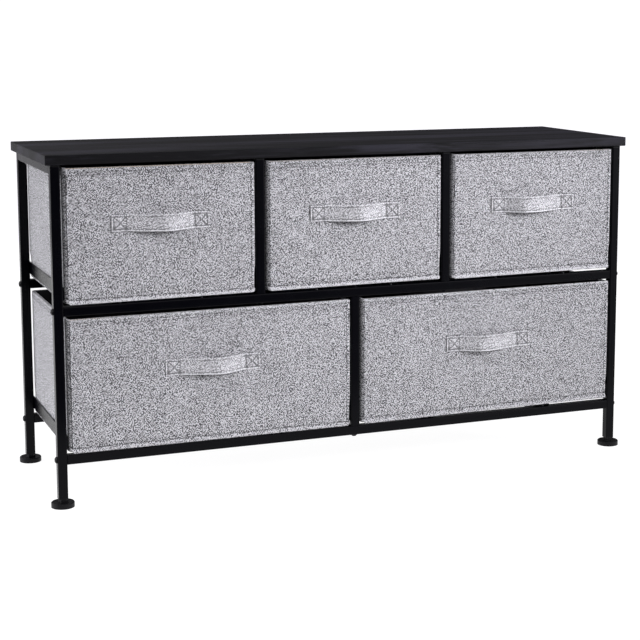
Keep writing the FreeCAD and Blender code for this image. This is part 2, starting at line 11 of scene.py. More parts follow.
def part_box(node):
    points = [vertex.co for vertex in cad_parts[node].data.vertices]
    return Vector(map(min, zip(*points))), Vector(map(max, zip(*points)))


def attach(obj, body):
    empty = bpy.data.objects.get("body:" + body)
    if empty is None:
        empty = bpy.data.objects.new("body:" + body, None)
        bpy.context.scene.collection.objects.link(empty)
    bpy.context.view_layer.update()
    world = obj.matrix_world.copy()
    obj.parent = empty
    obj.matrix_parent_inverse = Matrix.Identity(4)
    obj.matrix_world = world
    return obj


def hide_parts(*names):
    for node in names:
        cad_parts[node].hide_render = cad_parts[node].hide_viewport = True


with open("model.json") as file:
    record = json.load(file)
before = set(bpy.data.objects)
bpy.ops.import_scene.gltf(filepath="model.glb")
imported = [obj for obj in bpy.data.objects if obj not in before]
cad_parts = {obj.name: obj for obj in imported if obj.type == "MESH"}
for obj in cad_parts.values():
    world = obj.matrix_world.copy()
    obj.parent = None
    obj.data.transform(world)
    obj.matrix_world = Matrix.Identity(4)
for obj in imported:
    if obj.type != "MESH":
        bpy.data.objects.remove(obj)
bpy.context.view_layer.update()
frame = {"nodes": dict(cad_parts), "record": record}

MM = 0.001

# In mm: how far a drawer's front hem hangs and its rim rises, each at the left end and at the right end,
# the height of its bottom seam, and how far right of its middle its pull strap peaks.
Drawer = namedtuple("Drawer", "hang rise bottom_seam peak")
DRAWERS = {
    "upper_left": Drawer((3.4, 1.7), (-2.3, -2.2), 8.0, 10.0),
    "upper_middle": Drawer((2.0, -0.3), (-1.8, -1.6), 8.0, 4.0),
    "upper_right": Drawer((2.2, 0.4), (-1.0, -1.8), 10.0, -18.0),
    "lower_left": Drawer((3.9, 3.7), (-2.0, 0.8), 8.0, 10.0),
    "lower_right": Drawer((3.4, -0.1), (-1.4, 1.4), 10.0, -14.0),
}
random.seed(11)

# Sewing. The first three say how far a seam runs in from the edge of its panel or strap.
SIDE_SEAM = 4.4 * MM
HEM_SEAMS = (5.6 * MM, 10.0 * MM)
STRAP_SEAM = 3.4 * MM
SEAM_WIDTH = 2.2 * MM
SEAM_FLANK = 0.65 * SEAM_WIDTH
SEAM_DEPTH = 0.5 * MM
STITCH_PITCH = 4.8 * MM
STITCH_LENGTH = 3.1 * MM
THREAD_RADIUS = 0.45 * MM
# How far the middle of a stitch stands above the cloth of a cover and of a strap.
COVER_STITCH_LIFT = 0.5 * THREAD_RADIUS
STRAP_STITCH_LIFT = 0.4 * THREAD_RADIUS

# Places nearer than this are the same place.
TOUCHING = 1e-6


# ---------------------------------------------------------------- shader maths


class Socket:
    """A node socket with arithmetic that adds Math nodes."""

    def __init__(self, graph, link):
        self.graph = graph
        self.link = link

    def _math(self, operation, *operands):
        return self.graph.node("ShaderNodeMath", {"operation": operation}, list(operands))

    def __add__(self, other):
        return self._math("ADD", self, other)

    def __radd__(self, other):
        return self._math("ADD", other, self)

    def __sub__(self, other):
        return self._math("SUBTRACT", self, other)

    def __rsub__(self, other):
        return self._math("SUBTRACT", other, self)

    def __mul__(self, other):
        return self._math("MULTIPLY", self, other)

    def __rmul__(self, other):
        return self._math("MULTIPLY", other, self)

    def __truediv__(self, other):
        return self._math("DIVIDE", self, other)

    def floor(self):
        return self._math("FLOOR", self)

    def sine(self):
        return self._math("SINE", self)

    def modulo(self, other):
        return self._math("FLOORED_MODULO", self, other)

    def absolute(self):
        return self._math("ABSOLUTE", self)

    def smooth(self, low, high):
        """0 below low, 1 above high and a smooth step between."""
        settings = {"interpolation_type": "SMOOTHSTEP"}
        inputs = {"Value": self, "From Min": low, "From Max": high}
        return self.graph.node("ShaderNodeMapRange", settings, inputs)


class Graph:
    """A node tree that is built by calls."""

    def __init__(self, tree):
        self.tree = tree

    def node(self, kind, settings=None, inputs=None, output=0):
        """Adds a node, with its settings and the values or links of its sockets, by name or by number."""
        made = self.tree.nodes.new(kind)
        for key, value in (settings or {}).items():
            setattr(made, key, value)
        pairs = enumerate(inputs) if isinstance(inputs, list) else (inputs or {}).items()
        for key, value in pairs:
            if isinstance(value, Socket):
                self.tree.links.new(value.link, made.inputs[key])
            else:
                made.inputs[key].default_value = (*value, 1.0) if isinstance(value, tuple) else value
        return Socket(self, made.outputs[output])

    def split(self, vector):
        parts = self.node("ShaderNodeSeparateXYZ", None, [vector])
        outputs = parts.link.node.outputs
        return [Socket(self, outputs[axis]) for axis in "XYZ"]

    def join(self, x, y, z=0.0):
        return self.node("ShaderNodeCombineXYZ", None, [x, y, z])

    def noise(self, vector, scale, detail=2.0, roughness=0.5):
        inputs = {"Vector": vector, "Scale": scale, "Detail": detail, "Roughness": roughness}
        return self.node("ShaderNodeTexNoise", None, inputs)

    def random(self, *cell):
        """One random number for each whole step of the cell's two or three numbers."""
        return self.node("ShaderNodeTexWhiteNoise", None, {"Vector": self.join(*cell)})

    def mix(self, factor, first, second):
        """A colour between two colours."""
        settings = {"data_type": "RGBA", "clamp_factor": True}
        return self.node("ShaderNodeMix", settings, {0: factor, 6: first, 7: second}, output=2)


class Shader(Graph):
    """A material's node tree and its Principled surface."""

    def __init__(self, name, **constants):
        self.material = bpy.data.materials.new(name)
        self.material.use_nodes = True
        super().__init__(self.material.node_tree)
        self.surface = next(n for n in self.tree.nodes if n.type == "BSDF_PRINCIPLED")
        for socket, value in constants.items():
            self.surface.inputs[socket.replace("_", " ")].default_value = value

    def feed(self, socket, value):
        self.tree.links.new(value.link, self.surface.inputs[socket])

    def place(self):
        """Object coordinates, in metres."""
        return self.node("ShaderNodeTexCoord", output="Object")

    def bump(self, height, distance, strength=1.0):
        inputs = {"Height": height, "Distance": distance, "Strength": strength}
        self.feed("Normal", self.node("ShaderNodeBump", None, inputs))


def shade(colour, factor):
    return tuple(factor * c for c in colour)


# ---------------------------------------------------------------- materials


def woven_fabric(name, light, dark, thread=1.5 * MM, slub=5 * MM):
    """Heathered linen-look weave on the piece's own cloth map, whose threads differ most from the ones
    beside them. Its tone attribute carries painted shade in the seams and painted highlights on folded edges."""
    shader = Shader(name, Roughness=0.92, Specular_IOR_Level=0.1, Sheen_Weight=0.1, Sheen_Roughness=0.6)
    u, v, _ = shader.split(shader.node("ShaderNodeUVMap", {"uv_map": "cloth"}))
    across, along = u / thread, v / thread
    column, row = across.floor(), along.floor()
    beside = (shader.random(column - 1.0, row) + shader.random(column + 1.0, row)
              + shader.random(column, row - 1.0) + shader.random(column, row + 1.0))
    sharpness, contrast, stagger = 0.16, 1.8, 0.37
    crossing = (shader.random(column, row) - 0.5 - (beside - 2.0) * sharpness) * contrast
    warp = shader.random(column, (v / slub + column * stagger).floor(), 3.0)
    weft = shader.random((u / (2.0 * slub) + row * stagger).floor(), row, 7.0)
    over = (column + row).modulo(2.0)
    threads = warp * over + weft * (1.0 - over)
    cloud = shader.noise(shader.join(u, v), scale=14.0)
    heather = crossing + (threads - 0.5) * 0.5 + (cloud - 0.5) * 0.2
    # The tone attribute adds painted highlights and painted shade to the weave's colour.
    painted_light_tone = shader.node("ShaderNodeAttribute", {"attribute_name": "tone"}, output="Fac")
    shader.feed("Base Color", shader.mix(heather + painted_light_tone * 0.6 + 0.5, dark, light))
    ridge = (across * math.pi).sine().absolute() * (along * math.pi).sine().absolute()
    shader.bump(ridge * 0.7 + threads * 0.6, distance=0.2 * MM, strength=0.6)
    return shader.material


def thread_material(name, colour, twist_pitch=0.9 * MM):
    """Thread whose plies turn round it."""
    shader = Shader(name, Roughness=0.75, Specular_IOR_Level=0.3, Sheen_Weight=0.2)
    x, y, z = shader.split(shader.place())
    twist = ((x + y + z) * (2 * math.pi / twist_pitch)).sine()
    fibres = shader.noise(shader.place(), scale=300.0)
    shader.feed("Base Color", shader.mix(fibres + twist * 0.15, shade(colour, 0.7), colour))
    shader.bump(twist, distance=0.08 * MM)
    return shader.material


def non_woven(name, colour, dot=2.2 * MM):
    """Pressed fibre cloth with a fine grid of embossed dots."""
    shader = Shader(name, Roughness=0.9, Specular_IOR_Level=0.15)
    x, y, z = shader.split(shader.place())
    u, v = (x + y) / dot, (z + y) / dot
    pits = (u * math.pi).sine().absolute() * (v * math.pi).sine().absolute()
    fibres = shader.noise(shader.place(), scale=260.0, detail=4.0, roughness=0.7)
    creases = shader.noise(shader.place(), scale=9.0, detail=3.0)
    tone = fibres * 0.6 + pits * 0.25 + (creases - 0.5) * 0.4
    shader.feed("Base Color", shader.mix(tone, shade(colour, 0.72), colour))
    shader.bump(pits * 0.6 + fibres * 0.6, distance=0.2 * MM)
    return shader.material


def wood_foil(name):
    """Charcoal foil with long fine grain along the board."""
    shader = Shader(name, Specular_IOR_Level=0.1)
    x, y, z = shader.split(shader.place())

    def grain(length, width, drift=0.0, **detail):
        """Streaks along X, the finer the larger the two numbers."""
        stretched = shader.join(x * length, (y + drift) * width, z * width)
        return shader.noise(stretched, scale=1.0, **detail)

    wander = grain(2.2, 5.0) * 0.06
    broad = grain(1.6, 25.0, wander, detail=4.0, roughness=0.6)
    fine = grain(7.0, 330.0, wander, detail=3.0, roughness=0.6)
    pores = grain(26.0, 900.0, detail=1.0).smooth(0.62, 0.72)
    tone = (broad - 0.5) * 7.0 + (fine - 0.5) * 2.4 + 0.35
    streaks = shader.mix(tone, (0.0012, 0.0011, 0.0018), (0.0122, 0.0116, 0.0165))
    shader.feed("Base Color", shader.mix(pores * 0.6, streaks, (0.003, 0.0029, 0.004)))
    shader.feed("Roughness", fine * 0.16 + pores * 0.1 + 0.46)
    shader.bump(fine * 0.5 - pores * 0.8 + broad * 0.3, distance=0.12 * MM)
    return shader.material


def powder_coat(name, colour, roughness):
    """Baked paint with a fine orange peel and traces of handling."""
    shader = Shader(name, Specular_IOR_Level=0.1)
    peel = shader.noise(shader.place(), scale=900.0)
    handling = shader.noise(shader.place(), scale=22.0, detail=3.0)
    shader.feed("Base Color", shader.mix(peel * 0.5 + handling * 0.4, colour, shade(colour, 1.7)))
    shader.feed("Roughness", (handling - 0.5) * 0.12 + (peel - 0.5) * 0.1 + roughness)
    shader.bump(peel, distance=0.05 * MM, strength=0.6)
    return shader.material


def moulded_plastic(name, colour):
    """Fine-grained plastic with light scuffs."""
    shader = Shader(name, Specular_IOR_Level=0.15)
    grain = shader.noise(shader.place(), scale=1400.0)
    scuffs = shader.noise(shader.place(), scale=60.0, detail=4.0, roughness=0.7).smooth(0.55, 0.8)
    shader.feed("Base Color", shader.mix(grain * 0.4 + scuffs * 0.3, colour, shade(colour, 2.2)))
    shader.feed("Roughness", scuffs * 0.15 + grain * 0.08 + 0.42)
    shader.bump(grain, distance=0.04 * MM)
    return shader.material


def plated_steel(name, colour, roughness):
    """Dull zinc plating."""
    shader = Shader(name, Metallic=1.0)
    brushed = shader.noise(shader.place(), scale=800.0, detail=3.0)
    shader.feed("Base Color", shader.mix(brushed, shade(colour, 0.75), colour))
    shader.feed("Roughness", (brushed - 0.5) * 0.2 + roughness)
    shader.bump(brushed, distance=0.02 * MM)
    return shader.material


def raw_board(name, colour):
    """Pressed grey-brown board."""
    shader = Shader(name, Roughness=0.85, Specular_IOR_Level=0.2)
    chips = shader.noise(shader.place(), scale=240.0, detail=4.0, roughness=0.75)
    shader.feed("Base Color", shader.mix(chips, shade(colour, 0.6), colour))
    shader.bump(chips, distance=0.1 * MM)
    return shader.material


def studio_floor(name):
    """A pale floor with a glow of its own, so that it meets the white room without an edge."""
    shader = Shader(name, Base_Color=(0.2, 0.2, 0.2, 1.0), Roughness=0.95, Specular_IOR_Level=0.0,
                    Emission_Color=(1.0, 1.0, 1.0, 1.0), Emission_Strength=0.92)
    return shader.material


drawer_fabric = woven_fabric("drawer_fabric", light=(0.435, 0.435, 0.451), dark=(0.03, 0.03, 0.032))
# The strap cloth is the drawer cloth made lighter: painted light for the strap standing out into more light.
strap_fabric = woven_fabric("strap_fabric", light=(0.52, 0.52, 0.538), dark=(0.11, 0.11, 0.114))
sewing_thread = thread_material("sewing_thread", (0.06, 0.06, 0.063))
lining_cloth = non_woven("lining_cloth", (0.035, 0.035, 0.038))
SLOT_MATERIALS = {
    "board": wood_foil("board_foil"),
    "frame_paint": powder_coat("frame_coat", (0.0003, 0.0003, 0.0009), roughness=0.25),
    "bolts": powder_coat("bolt_black", (0.0005, 0.0005, 0.001), roughness=0.3),
    "zinc_steel": plated_steel("zinc_steel", (0.09, 0.09, 0.095), roughness=0.4),
    "black_plastic": moulded_plastic("black_plastic", (0.0012, 0.0012, 0.0017)),
    "lining_fabric": lining_cloth,
    "card": raw_board("card", (0.42, 0.34, 0.25)),
    "base_board": non_woven("base_cloth", (0.035, 0.035, 0.038)),
}


def dress_cad_nodes():
    """Every CAD node that stays in view gets the finish of its material slot."""
    for entry in frame["record"]["subparts"]:
        material = SLOT_MATERIALS.get(entry["material_slot"])
        if material is None:
            continue
        for slot in frame["nodes"][entry["node"]].material_slots:
            slot.material = material


# ---------------------------------------------------------------- mesh helpers


def add_piece(name, bm, material, body, stands_for=()):
    """Makes the mesh a piece that rides on a body and stands for CAD nodes."""
    mesh = bpy.data.meshes.new(name)
    bm.to_mesh(mesh)
    bm.free()
    mesh.materials.append(material)
    mesh.polygons.foreach_set("use_smooth", [True] * len(mesh.polygons))
    piece = bpy.data.objects.new(name, mesh)
    bpy.context.scene.collection.objects.link(piece)
    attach(piece, body)
    if stands_for:
        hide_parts(*stands_for)


def block(low, high):
    """A bmesh box between two corners."""
    bm = bmesh.new()
    bmesh.ops.create_cube(bm, size=1.0)
    bmesh.ops.scale(bm, vec=high - low, verts=bm.verts)
    bmesh.ops.translate(bm, vec=(low + high) / 2, verts=bm.verts)
    return bm


def top_face(bm):
    return next(f for f in bm.faces if f.normal.z > 0.9)


def take_out(bm, face):
    """Deletes a face and returns the edges round the hole."""
    mouth = list(face.edges)
    bmesh.ops.delete(bm, geom=[face], context="FACES_ONLY")
    return mouth


def bevel(bm, edges, width, segments):
    bmesh.ops.bevel(bm, geom=edges, offset=width, offset_type="OFFSET", segments=segments, profile=0.5,
                    affect="EDGES", material=-1, clamp_overlap=True)


def slice_across(bm, axis, places):
    """Cuts the mesh by planes at places along an axis, so that it can bend there."""
    normal = Vector((0, 0, 0))
    normal[axis] = 1.0
    for place in places:
        everything = bm.verts[:] + bm.edges[:] + bm.faces[:]
        bmesh.ops.bisect_plane(bm, geom=everything, dist=TOUCHING, plane_co=normal * place, plane_no=normal)


def stands_at(edge, x):
    """Whether an edge stands upright at an x."""
    first, last = (v.co for v in edge.verts)
    return max(abs(first.x - x), abs(last.x - x), abs(first.y - last.y)) < TOUCHING


def lies_at(edge, height):
    return all(abs(v.co.z - height) < TOUCHING for v in edge.verts)


def steps(low, high, pitch):
    """Places between low and high at about the pitch."""
    count = max(2, round((high - low) / pitch))
    return [low + (high - low) * i / count for i in range(1, count)]


def map_cloth(bm):
    """Lays the weave on each face, in metres, along its own run and rise."""
    layer = bm.loops.layers.uv.new("cloth")
    for face in bm.faces:
        normal = [abs(c) for c in face.normal]
        flat = normal.index(max(normal))
        first, second = [(1, 2), (0, 2), (0, 1)][flat]
        for loop in face.loops:
            loop[layer].uv = (loop.vert.co[first], loop.vert.co[second])


def ramp(distance, reach):
    """0 at no distance, 1 from the reach on."""
    return min(1.0, max(0.0, distance / reach))


def fade(distance, reach):
    """1 at no distance, 0 from the reach on."""
    return 1.0 - ramp(distance, reach)


def dip(distance, width):
    """1 on a seam and 0 beyond its width."""
    return fade(abs(distance), width) ** 2


def between(pair, share):
    return pair[0] + (pair[1] - pair[0]) * share


def random_place():
    return Vector((random.random(), random.random(), random.random())) * 10


# ---------------------------------------------------------------- drawer covers


class Panel:
    """The sewn outer box of a drawer: where its seams run and how its cloth stands."""

    # Radii of the upright edges, the rim and the bottom edge, each with its segments.
    LEFT_CORNER = (7.5 * MM, 7)
    RIGHT_CORNER = (3 * MM, 5)
    RIM_ROUND = (1.5 * MM, 3)
    BOTTOM_ROUND = (1.2 * MM, 2)
    # How far the hem turns in over the rim, and how far it hangs down inside.
    RIM = 4 * MM
    HEM_DROP = 26 * MM
    # A point nearer than this to a wall counts as on it. The sewn skin lies within the shell's depth, and
    # the turned hem behind it.
    SKIN = 2 * MM
    SHELL = 3 * MM
    # The turned bottom edge: the height of its lip, and how far it stands out.
    BEAD = 6.2 * MM
    BEAD_REACH = 1.0 * MM
    # How far the cloth bags on the front, its share on the other walls, and how far in from the edges it
    # is fully loose. It bulges by a share of the slack, under broad and narrow waves.
    SLACK = 0.7 * MM
    SIDE_SLACK = 0.4
    SLACK_EASE = 25 * MM
    BULGE = 0.4
    WAVES = (11.0, 26.0)
    NARROW_SHARE = 0.45
    # Small puckers beside the seams that run across.
    PUCKER = 0.25 * MM
    PUCKER_WAVES = 160.0
    PUCKER_REACH = 12 * MM
    # How far the back may stand out before it meets the stops of the runners.
    STOP_ROOM = 0.4 * MM
    # Shares of the full pull of a seam.
    HEM_PULL = 0.5
    BOTTOM_PULL = 0.85
    SIDE_PULL = 0.8
    # How far behind the front its hanging hem and its risen rim reach, and how far up or down the wall.
    HEM_DEPTH = 0.55 * MM
    RIM_DEPTH = 6 * MM
    PULL = 40 * MM
    # The sides swell, but only by a share of it beside the guide bars, and ease from there on.
    RIGHT_SWELL = 2.1 * MM
    BAR_SWELL = 0.2
    BAR_TOP = 32 * MM
    BAR_EASE = 12 * MM
    # The painted shade of the lip on the sides, where the guide bars shade it, and how far below the top the
    # painted highlight of the rim lies and reaches.
    SIDE_LIP_PAINTED_SHADE = -0.7
    RIM_PAINTED_HIGHLIGHT = (1.5 * MM, 2.6 * MM)

    def __init__(self, name):
        self.low, self.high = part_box(f"{name}_cover")
        self.strap = Strap(name)
        drawer = DRAWERS[name]
        self.hang, self.rise = drawer.hang, drawer.rise
        self.bottom_seam = drawer.bottom_seam * MM
        upper = name.startswith("upper")
        # Painted highlights: on the turned bottom lip, stronger on the upper drawers, and along the rim only
        # on the lower drawers, as the board shades the upper rims.
        self.lip_highlight_paint = 0.9 if upper else 0.45
        self.rim_highlight_paint = 0.0 if upper else 0.6
        self.left_swell = (2.5 if upper else 0.9) * MM
        self.shift = random_place()

    def on_front(self, co):
        return co.y - self.low.y < self.SKIN

    def on_back(self, co):
        return self.high.y - co.y < self.SKIN

    def on_side(self, co):
        return not (self.on_front(co) or self.on_back(co))

    def edge_distance(self, co):
        """From a point on a wall to the nearest upright edge of that wall."""
        return max(min(co.x - self.low.x, self.high.x - co.x), min(co.y - self.low.y, self.high.y - co.y))

    def seam_at(self, co):
        """How much a seam pulls the cloth in at a point, from 0 to 1."""
        below_rim = self.high.z - co.z
        pull = max(self.HEM_PULL * dip(below_rim - inset, SEAM_WIDTH) for inset in HEM_SEAMS)
        pull = max(pull, self.BOTTOM_PULL * dip(co.z - self.low.z - self.bottom_seam, SEAM_WIDTH))
        in_from_edge = self.edge_distance(co)
        if in_from_edge < 2 * SIDE_SEAM and below_rim > HEM_SEAMS[1] and not self.on_side(co):
            pull = max(pull, self.SIDE_PULL * dip(in_from_edge - SIDE_SEAM, SEAM_WIDTH))
        # Round the strap's sewn ends the cloth is pulled in; tone_at also darkens this ring as painted
        # contact shadow.
        if self.on_front(co):
            pull = max(pull, dip(self.strap.patch_gap(co), SEAM_WIDTH))
        return pull

    def tone_at(self, co):
        """Painted highlights on the turned bottom lip of the front and the back and along the rim, painted
        shade on the sides' lip and in the seam grooves.
        """
        lip = self.bead(co) / self.BEAD_REACH
        if self.on_side(co):
            return self.SIDE_LIP_PAINTED_SHADE * lip - self.seam_at(co)
        line, reach = self.RIM_PAINTED_HIGHLIGHT
        rim = dip(self.high.z - co.z - line, reach)
        return self.rim_highlight_paint * rim + self.lip_highlight_paint * lip - self.seam_at(co)

    def bead(self, co):
        """The turned bottom edge stands out as a round lip."""
        middle = self.BEAD / 2
        offset = (co.z - self.low.z - middle) / middle
        return self.BEAD_REACH * math.sqrt(max(0.0, 1.0 - offset * offset))

    def stand(self, co):
        """How far the cloth stands out from the board behind it. At the back it keeps clear of the stops."""
        above, below = co.z - self.low.z, self.high.z - co.z
        ease = ramp(min(above, below), self.SLACK_EASE) * ramp(self.edge_distance(co), self.SLACK_EASE)
        broad, narrow = (noise.noise((co + self.shift) * scale) for scale in self.WAVES)
        waves = broad + self.NARROW_SHARE * narrow
        pucker = noise.noise(co * self.PUCKER_WAVES + self.shift)
        near_seam = max(dip(above - self.bottom_seam, self.PUCKER_REACH),
                        dip(below - HEM_SEAMS[1], self.PUCKER_REACH))
        slack = self.SLACK if self.on_front(co) else self.SIDE_SLACK * self.SLACK
        loose = slack * (self.BULGE + waves) * ease + self.PUCKER * pucker * near_seam
        stand = loose + self.bead(co) - SEAM_DEPTH * self.seam_at(co)
        return min(stand, self.STOP_ROOM) if self.on_back(co) else stand

    def slip(self, co):
        """How the box is out of true: the front hem hangs, the rim rises and the sides swell, the left one
        towards its rear."""
        width, depth = self.high.x - self.low.x, self.high.y - self.low.y
        across, behind = co.x - self.low.x, co.y - self.low.y
        above, below = co.z - self.low.z, self.high.z - co.z
        hang = between(self.hang, across / width) * MM * fade(behind, self.HEM_DEPTH) * fade(above, self.PULL)
        rise = between(self.rise, across / width) * MM * fade(behind, self.RIM_DEPTH) * fade(below, self.PULL)
        free = self.BAR_SWELL + (1.0 - self.BAR_SWELL) * ramp(above - self.BAR_TOP, self.BAR_EASE)
        right = self.RIGHT_SWELL * fade(self.high.x - co.x, self.RIM)
        left = self.left_swell * fade(across, self.RIM) * behind / depth
        return Vector(((right - left) * free, 0, rise - hang))

    def cuts(self):
        """The places along X, Y and Z where the mesh is cut, close beside the seams."""
        low, high, strap = self.low, self.high, self.strap
        beside = (-SEAM_FLANK, 0.0, SEAM_FLANK)
        along = [seam + d for seam in (low.x + SIDE_SEAM, high.x - SIDE_SEAM) for d in beside]
        patch = (strap.half, strap.half + SEAM_FLANK, strap.half + SEAM_WIDTH,
                 strap.foot, strap.foot - SEAM_FLANK)
        along += [strap.middle.x + side * place for side in (-1, 1) for place in patch]
        seams = [low.z + self.bottom_seam] + [high.z - inset for inset in HEM_SEAMS]
        up = [seam + d for seam in seams for d in beside]
        up += [high.z - d * MM for d in (1.5, 2.8, 4.0)]
        up += [low.z + self.BEAD * share for share in (0.25, 0.5, 0.75, 0.9, 1.0)]
        up += [strap.middle.z + side * (strap.half_width + gap) for side in (-1, 1)
               for gap in (0.0, SEAM_FLANK, SEAM_WIDTH)]
        return (along + steps(low.x + 12 * MM, high.x - 12 * MM, pitch=8 * MM),
                steps(low.y + 8 * MM, high.y - 8 * MM, pitch=10 * MM),
                up + steps(low.z + 12 * MM, high.z - 12 * MM, pitch=8 * MM))


def make_cover(name, panel):
    """A box with round corners and an open top, whose rim turns in and down, dressed as sewn cloth."""
    low, high = panel.low, panel.high
    bm = block(low, high)
    bevel(bm, [e for e in bm.edges if stands_at(e, low.x)], *panel.LEFT_CORNER)
    bevel(bm, [e for e in bm.edges if stands_at(e, high.x)], *panel.RIGHT_CORNER)
    top = top_face(bm)
    bmesh.ops.inset_region(bm, faces=[top], thickness=panel.RIM, use_even_offset=True)
    turned = bmesh.ops.extrude_edge_only(bm, edges=take_out(bm, top))
    hem = [v for v in turned["geom"] if isinstance(v, bmesh.types.BMVert)]
    bmesh.ops.translate(bm, vec=(0, 0, -panel.HEM_DROP), verts=hem)
    at_top = [e for e in bm.edges if lies_at(e, high.z) and any(abs(f.normal.z) < 0.5 for f in e.link_faces)]
    bevel(bm, at_top, *panel.RIM_ROUND)
    bevel(bm, [e for e in bm.edges if lies_at(e, low.z)], *panel.BOTTOM_ROUND)
    for axis, places in enumerate(panel.cuts()):
        slice_across(bm, axis, places)
    map_cloth(bm)

    tone = bm.verts.layers.float.new("tone")
    bm.normal_update()
    moves = []
    for vert in bm.verts:
        co = vert.co
        move = panel.slip(co)
        outside = min(co.x - low.x, high.x - co.x, co.y - low.y, high.y - co.y) < panel.SHELL
        if outside and abs(vert.normal.z) < 0.6:
            vert[tone] = panel.tone_at(co)
            outward = Vector((vert.normal.x, vert.normal.y, 0)).normalized()
            move = move + outward * panel.stand(co)
        moves.append((vert, move))
    for vert, move in moves:
        vert.co += move
    add_piece(f"{name}_sewn_cover", bm, drawer_fabric, f"{name}_drawer", [f"{name}_cover"])


# ---------------------------------------------------------------- stitches


def thread_bar():
    """The mesh of one stitch: a short pointed bar of thread along X, which each stitch stretches."""
    bm = bmesh.new()
    lying = Matrix.Rotation(math.pi / 2, 4, "Y")
    bmesh.ops.create_uvsphere(bm, u_segments=6, v_segments=4, radius=1.0, matrix=lying)
    mesh = bpy.data.meshes.new("stitch")
    bm.to_mesh(mesh)
    bm.free()
    return mesh


STITCH = thread_bar()


def add_stitch(bm, middle, along, outward):
    """Lays one stitch, whose two ends dive into the cloth."""
    turn = Matrix((along, along.cross(outward), outward)).transposed().to_4x4()
    size = Matrix.Diagonal((STITCH_LENGTH / 2, THREAD_RADIUS, THREAD_RADIUS, 1.0))
    bar = STITCH.copy()
    bar.transform(Matrix.Translation(middle) @ turn @ size)
    bm.from_mesh(bar)
    bpy.data.meshes.remove(bar)


def stitch_line(bm, start, end, outward, settle):
    """A row of stitches from start to end, each laid on the cloth by settle()."""
    run = end - start
    count = max(1, int(run.length / STITCH_PITCH))
    along = run.normalized()
    for i in range(count):
        middle = start + run * ((i + 0.5) / count)
        add_stitch(bm, settle(middle), along, outward)


def make_cover_stitches(name, panel):
    """Rows along the hem, the bottom seam and the upright edges of the front and the back."""
    low, high = panel.low, panel.high
    bm = bmesh.new()
    walls = (
        (Vector((0, -1, 0)), Vector((low.x, low.y, 0)), Vector((high.x, low.y, 0))),
        (Vector((0, 1, 0)), Vector((high.x, high.y, 0)), Vector((low.x, high.y, 0))),
        (Vector((-1, 0, 0)), Vector((low.x, high.y, 0)), Vector((low.x, low.y, 0))),
        (Vector((1, 0, 0)), Vector((high.x, low.y, 0)), Vector((high.x, high.y, 0))),
    )
    for outward, left, right in walls:
        inset = (right - left).normalized() * SIDE_SEAM
        left, right = left + inset, right - inset

        def settle(co, outward=outward):
            return co + outward * (panel.stand(co) + COVER_STITCH_LIFT) + panel.slip(co)

        for height in (high.z - HEM_SEAMS[0], high.z - HEM_SEAMS[1], low.z + panel.bottom_seam):
            lift = Vector((0, 0, height))
            stitch_line(bm, left + lift, right + lift, outward, settle)
        if abs(outward.y) > 0.5:
            for side in (left, right):
                foot = side + Vector((0, 0, low.z + panel.bottom_seam))
                top = side + Vector((0, 0, high.z - HEM_SEAMS[1]))
                stitch_line(bm, foot, top, outward, settle)
    add_piece(f"{name}_cover_stitches", bm, sewing_thread, f"{name}_drawer")


# ---------------------------------------------------------------- pull straps


